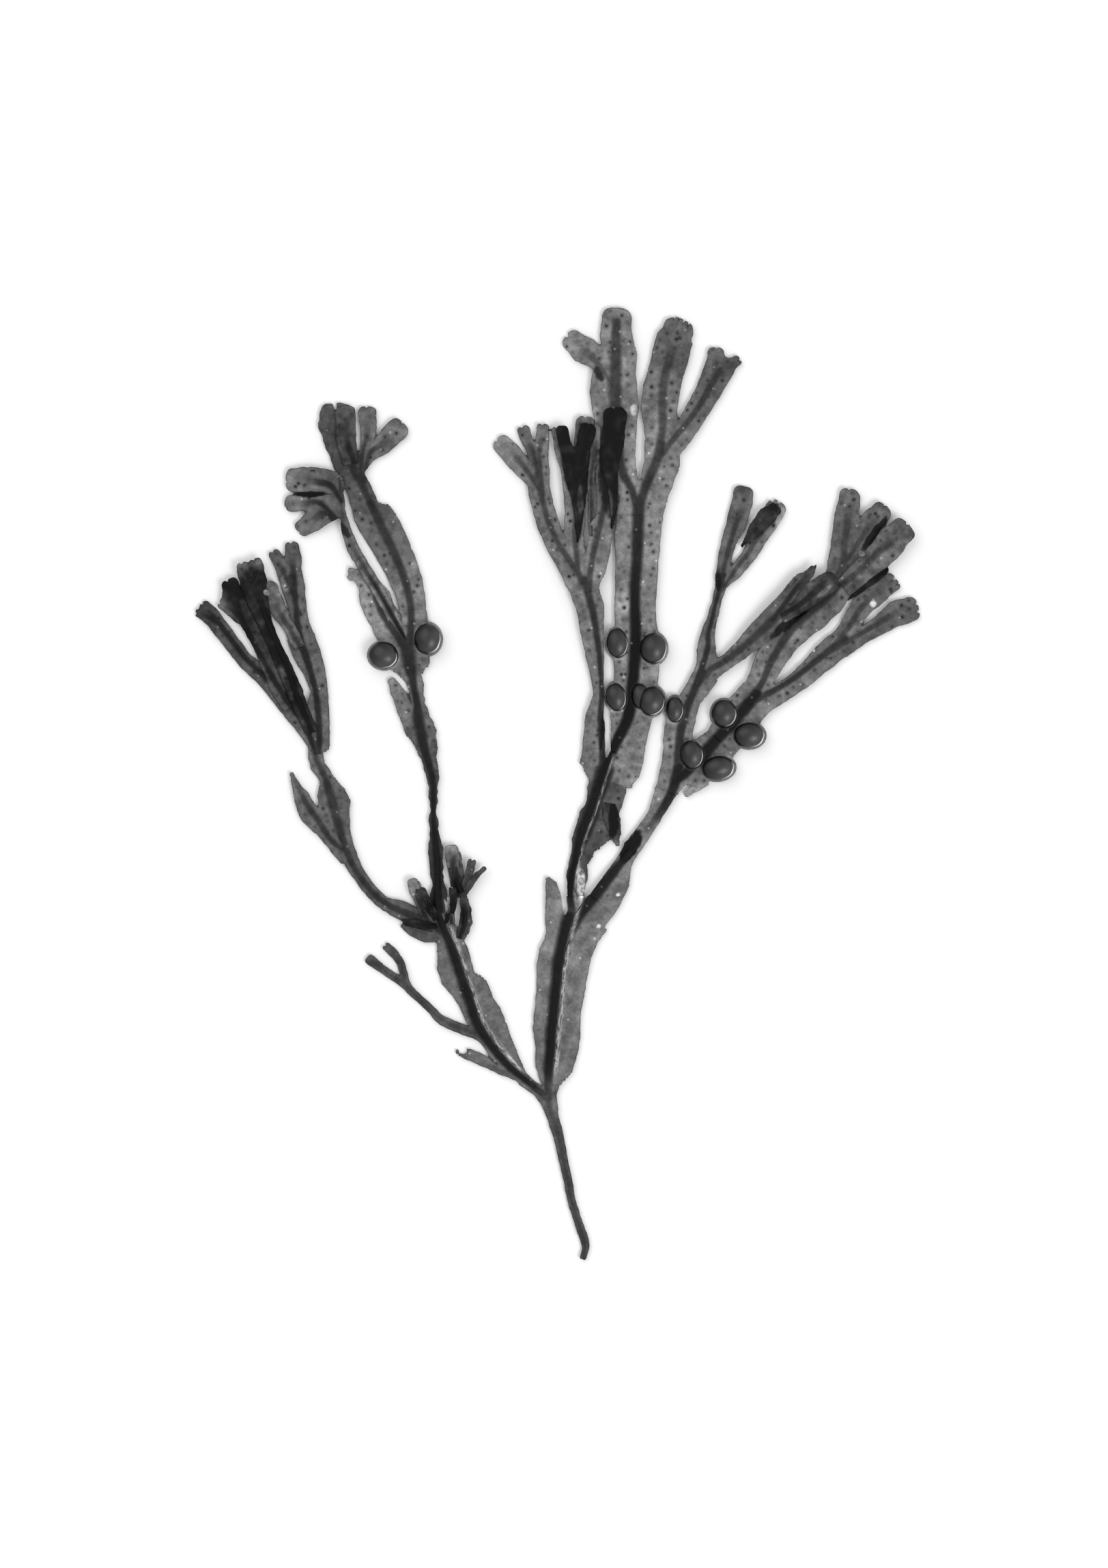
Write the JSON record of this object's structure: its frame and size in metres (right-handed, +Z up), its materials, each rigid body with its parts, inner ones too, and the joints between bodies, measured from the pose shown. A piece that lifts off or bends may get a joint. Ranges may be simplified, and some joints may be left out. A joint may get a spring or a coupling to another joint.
{
  "type": "bladder wrack frond",
  "caption": "Cut frond of bladder wrack lying flat: a forked stem, ribbed leathery blades, paired air bladders and notched fan tips.",
  "frame": {"origin": "on the resting surface, under the lowest fork of the stem", "axes": "+Z up out of the surface, +Y from the cut stem towards the tips, +X to the right seen from above"},
  "size_m": [0.2327, 0.3054, 0.0065],
  "materials": {
    "stem": "dark, tough and satin",
    "blade": "leathery, damp, satin"
  },
  "bodies": {
    "root": {"stipe": "stem", "left_branch": "blade", "side_sprig": "stem", "crown_tuft": "stem", "outer_left_arm": "blade", "outer_left_fan": "blade", "inner_left_arm": "stem", "inner_left_blade": "blade", "curled_fan": "blade", "broad_fan": "blade", "right_branch": "blade", "middle_arm": "blade", "fan_arm": "blade", "centre_fan": "blade", "tall_blade": "blade", "tall_fork": "blade", "tall_left_tip": "blade", "tall_right_tip": "blade", "right_arm": "blade", "right_fork": "blade", "slim_blade": "blade", "slim_fan": "blade", "dark_fan": "blade", "heel_blade": "blade", "upper_right_fan": "blade", "lower_right_fan": "blade"}
  },
  "joints": []
}
